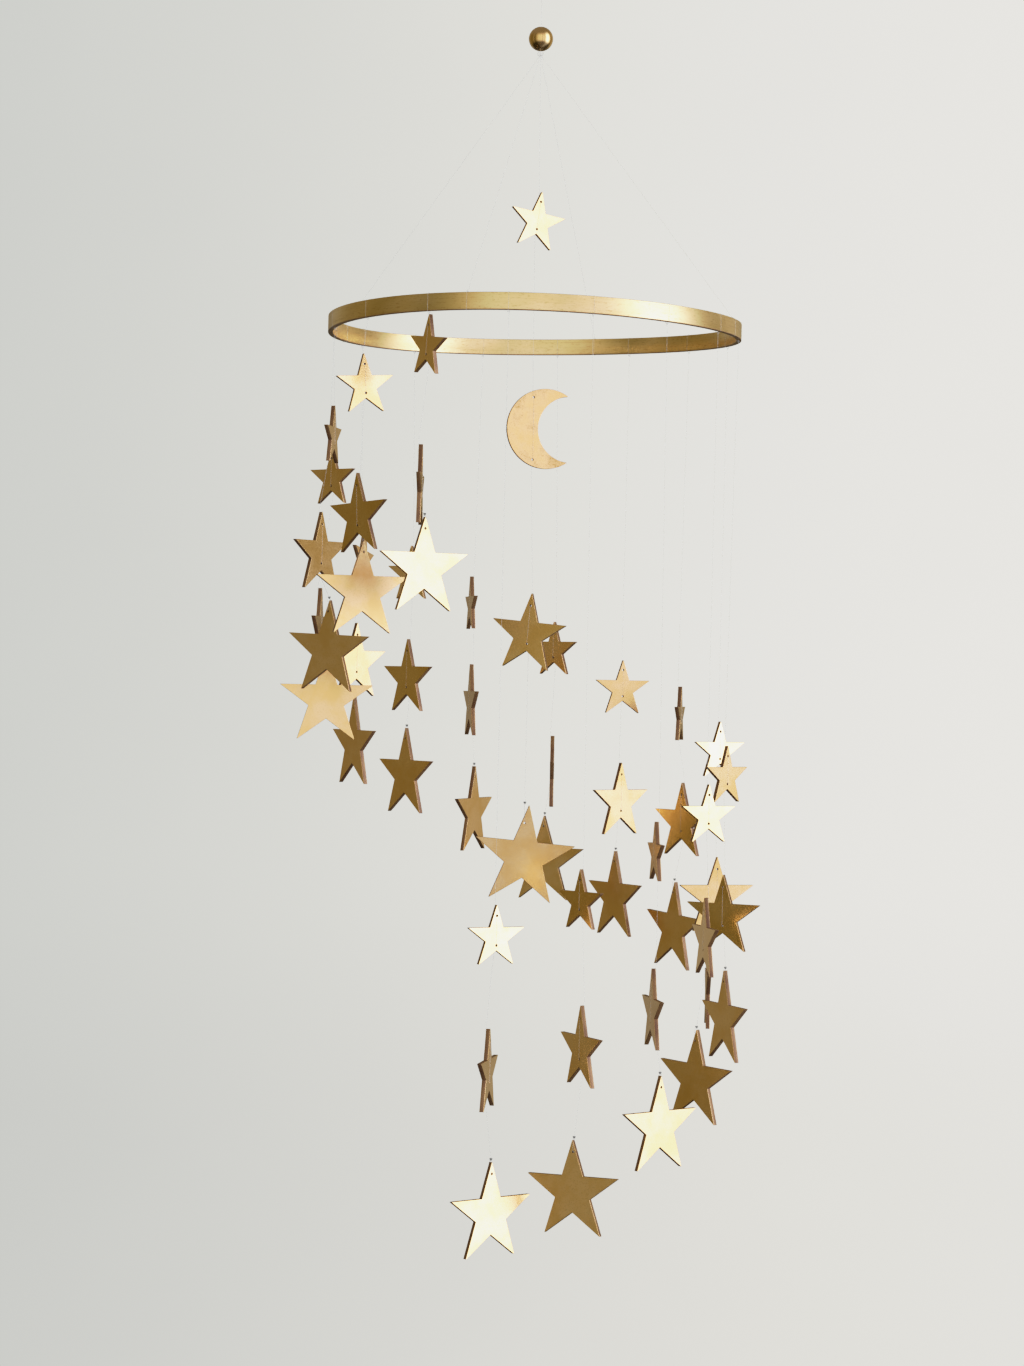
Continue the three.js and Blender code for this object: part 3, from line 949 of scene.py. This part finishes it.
def bead_section():
    """Half of the bead's outline, from its lower mouth to its upper one."""
    mouth = math.asin(BEAD_BORE_RADIUS / BEAD_RADIUS)
    points = []
    for step in range(BEAD_ARC + 1):
        angle = mouth + (math.pi - 2 * mouth) * step / BEAD_ARC
        points.append(Vector((math.sin(angle), -math.cos(angle))) * BEAD_RADIUS)
    points[0], points[-1] = points[0] * MOUTH_INSET, points[-1] * MOUTH_INSET
    return points


bead_mesh = turned_mesh("bead_turned", bead_section(), BEAD_STEPS)
bead = bpy.data.objects.new("bead_turned", bead_mesh)
bead.location = bead_middle
bpy.context.scene.collection.objects.link(bead)
bead_mesh.materials.append(gold_paint("bead_gold", roughness=0.16, wave=0.1, coat=0.9))
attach(bead, BODY)
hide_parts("bead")
print("bead", round(2 * BEAD_RADIUS / MM, 1), "mm")

# %% [markdown]
# Clear line is a thin rod of nylon. At this size only a faint grey thread shows, so it is see-through by
# plain values on the shader, with a gloss that is a little rougher where the line was handled. In a knot
# the turns lie over each other and look darker and more solid, so the knots above the last stars and the
# one under the hanging loop have their own values.

# %% Draw the clear line
def clear_nylon(name, lightness, alpha):
    """Nylon whose two shades are a lightness and a little more."""
    material, nodes = new_material(name)
    shades = [(light, light * 1.01, light, 1) for light in (lightness, lightness * 1.08)]
    place = nodes.add("ShaderNodeTexCoord", output=3)
    rubbed = nodes.noise(place, 900.0)
    shader = nodes.add("ShaderNodeBsdfPrincipled", {}, {
        "Base Color": nodes.mix(rubbed, *shades), "Roughness": 0.12 + 0.1 * rubbed,
        "Alpha": alpha, "IOR": 1.5,
    })
    nodes.add("ShaderNodeOutputMaterial", {}, {0: shader})
    return material


nylon = clear_nylon("clear_nylon", 0.86, 0.13)
tied_nylon = clear_nylon("tied_nylon", 0.16, 0.75)
for piece in line_pieces:
    tied = any(word in piece.name for word in ("star_knot", "loop_knot"))
    piece.data.materials.append(tied_nylon if tied else nylon)
print(len(line_pieces), "pieces of line")

# %% [markdown]
# The stage is a plain pale sweep: a round floor that curves up into a round wall, so there is pale ground
# behind the mobile from every side. It glows evenly, with painted light that makes it brighter on the right
# and painted shade that makes it a little darker towards the floor, and throws no light or shade on the
# mobile, so that the light can be set by itself.

# %% Lay the sweep
SWEEP_RADIUS = 4.5
SWEEP_CURVE = 1.2
SWEEP_FLOOR = -1.6
SWEEP_TOP = 5.0
SWEEP_STEPS = 96
SWEEP_MIDDLE = 0.001
CURVE_STEPS = 16
SHADED_PAPER = (0.66, 0.68, 0.635, 1)
LIT_PAPER = (1.075, 1.05, 0.975, 1)
PAPER_SHADE = (-1.7, 1.2)
FOOT_SHADE = 0.085
FOOT = (-0.75, -1.35)

profile = [Vector((SWEEP_MIDDLE, SWEEP_FLOOR))]
for step in range(CURVE_STEPS + 1):
    angle = math.pi / 2 * step / CURVE_STEPS
    out = SWEEP_RADIUS - SWEEP_CURVE + SWEEP_CURVE * math.sin(angle)
    profile.append(Vector((out, SWEEP_FLOOR + SWEEP_CURVE * (1 - math.cos(angle)))))
profile.append(Vector((SWEEP_RADIUS, SWEEP_TOP)))
shape = bmesh.new()
rings = []
for step in range(SWEEP_STEPS):
    azimuth = 2 * math.pi * step / SWEEP_STEPS
    rings.append([shape.verts.new((p.x * math.sin(azimuth), -p.x * math.cos(azimuth), p.y)) for p in profile])
for step, ring in enumerate(rings):
    following = rings[(step + 1) % SWEEP_STEPS]
    for up in range(len(profile) - 1):
        shape.faces.new((ring[up], following[up], following[up + 1], ring[up + 1])).smooth = True
shape.faces.new([ring[0] for ring in rings])
sweep_mesh = bpy.data.meshes.new("sweep")
shape.to_mesh(sweep_mesh)
shape.free()
sweep = bpy.data.objects.new("sweep", sweep_mesh)
bpy.context.scene.collection.objects.link(sweep)
sweep_material, sweep_nodes = new_material("sweep_paper")
spot = sweep_nodes.add("ShaderNodeTexCoord", output=3)
mottle = sweep_nodes.noise(spot, 3.0)
across = sweep_nodes.add("ShaderNodeSeparateXYZ", {}, {0: spot}, output=0)
# Painted light and shade: the glow is lighter on the right and a little darker towards the floor.
paper = sweep_nodes.mix(across.between(*PAPER_SHADE), SHADED_PAPER, LIT_PAPER)
upright = sweep_nodes.add("ShaderNodeSeparateXYZ", {}, {0: spot}, output=2)
strength = (0.985 + 0.03 * mottle) * (1 - FOOT_SHADE * upright.between(*FOOT))
glow = sweep_nodes.add("ShaderNodeEmission", {}, {0: paper, 1: strength})
sweep_nodes.add("ShaderNodeOutputMaterial", {}, {0: glow})
sweep_mesh.materials.append(sweep_material)
for seen in ("visible_diffuse", "visible_glossy", "visible_shadow", "visible_volume_scatter"):
    setattr(sweep, seen, False)
print("sweep", 2 * SWEEP_RADIUS, "m across")

# %% [markdown]
# Gold has no colour of its own in the dark: it shows what it mirrors. So the light is a soft studio all
# round, with a broad bright window to the right of the camera, a dimmer front and a dark, warm left side.
# A star that is turned to the window turns nearly white, one that looks past it is golden, and one that
# is turned away goes olive. The studio is a list of lights over the direction, in degrees to the right of
# the camera. A few lamps could light the mobile too, but their outlines would show in the gold.

# %% List the lights
STUDIO = [
    (-180, (0.24, 0.20, 0.11)), (-157, (0.20, 0.18, 0.14)), (-150, (0.38, 0.37, 0.31)),
    (-132, (0.30, 0.27, 0.15)), (-124, (0.17, 0.13, 0.05)), (-112, (0.26, 0.22, 0.10)),
    (-100, (0.17, 0.135, 0.035)), (-88, (0.18, 0.15, 0.06)), (-78, (0.26, 0.22, 0.11)),
    (-72, (0.40, 0.37, 0.27)), (-64, (0.08, 0.065, 0.01)), (-53, (0.18, 0.155, 0.045)),
    (-40, (0.54, 0.52, 0.34)), (-18, (1.15, 1.15, 1.10)), (-4, (1.0, 1.0, 1.02)),
    (8, (1.60, 1.55, 1.65)), (14, (0.55, 0.54, 0.54)), (22, (1.0, 1.0, 1.1)),
    (29, (1.9, 1.8, 2.1)), (36, (0.52, 0.50, 0.46)), (43, (1.3, 1.28, 1.35)),
    (49, (1.5, 1.4, 1.3)), (54, (3.6, 4.0, 4.9)), (82, (3.6, 4.0, 4.9)),
    (88, (1.5, 1.5, 1.5)), (94, (1.4, 1.38, 1.4)), (99, (0.24, 0.20, 0.09)),
    (122, (0.25, 0.22, 0.10)), (135, (0.58, 0.53, 0.38)), (150, (0.40, 0.37, 0.26)),
    (158, (0.36, 0.33, 0.25)), (166, (0.10, 0.08, 0.03)), (180, (0.24, 0.20, 0.11)),
]
print("studio of", len(STUDIO), "stops")

# %% [markdown]
# One colour ramp holds at most 32 stops, so the list is laid on two, and its levels are divided by the
# brightest, because a ramp's colours stay between 0 and 1. The ceiling is dark, which shades the top of
# the bead, and the light falls off below, so that the undersides of the edges go dark.

# %% Light the studio
BRIGHTEST = 5.0
CEILING = (0.05, 0.045, 0.035, 1)
CEILING_RISE = (0.35, 0.85)
FLOOR_RISE = (-0.65, -0.22)
FLOOR_LIGHT = 0.10
RAMP_STOPS = 20

world = bpy.data.worlds.new("studio")
bpy.context.scene.world = world
world.use_nodes = True
nodes = Nodes(world.node_tree)
direction = nodes.add("ShaderNodeTexCoord", output=0)
parts = [nodes.add("ShaderNodeSeparateXYZ", {}, {0: direction}, output=axis) for axis in range(3)]
sideways = parts[0].maths("ARCTAN2", parts[0], 0 - parts[1])
share = sideways / (2 * math.pi) + 0.5
wheel = [(degrees / 360 + 0.5, (*(level / BRIGHTEST for level in light), 1)) for degrees, light in STUDIO]
ramp = nodes.add("ShaderNodeValToRGB", {"stops": wheel[:RAMP_STOPS]}, {0: share})
rest = nodes.add("ShaderNodeValToRGB", {"stops": wheel[RAMP_STOPS - 1:]}, {0: share})
seam = wheel[RAMP_STOPS - 1][0]
around = nodes.mix(share.maths("GREATER_THAN", share, seam), ramp, rest)
lit = nodes.mix(parts[2].between(*CEILING_RISE), around, CEILING)
height = FLOOR_LIGHT + (1 - FLOOR_LIGHT) * parts[2].between(*FLOOR_RISE)
background = nodes.add("ShaderNodeBackground", {}, {0: lit, 1: height * BRIGHTEST})
nodes.add("ShaderNodeOutputWorld", {}, {0: background})
print("brightest light", BRIGHTEST)

# %% [markdown]
# A camera's answer to light isn't straight: bright gold rolls off gently and stays short of white, so the
# stars that face the window keep their tint. One of Blender's ready looks would shift the paler golds as
# well, so the curve is given point by point, from the light that falls in to what is shown.

# %% Answer like film
FILM = [
    (0, 0), (0.5, 0.5), (0.64, 0.58), (0.78, 0.66), (0.92, 0.74), (1.1, 0.81), (1.3, 0.87), (1.6, 0.905),
    (2.4, 0.915), (5.0, 0.92),
]

scene = bpy.context.scene
scene.view_settings.view_transform = "Standard"
scene.view_settings.look = "None"
scene.view_settings.use_curve_mapping = True
film = scene.view_settings.curve_mapping
film.white_level = (BRIGHTEST, BRIGHTEST, BRIGHTEST)
film.extend = "HORIZONTAL"
answer = film.curves[3].points
answer[0].location, answer[1].location = [(light / BRIGHTEST, shown) for light, shown in (FILM[0], FILM[-1])]
for light, shown in FILM[1:-1]:
    answer.new(light / BRIGHTEST, shown)
for point in answer:
    point.handle_type = "VECTOR"
film.update()
print("film curve of", len(answer), "points")

# %% [markdown]
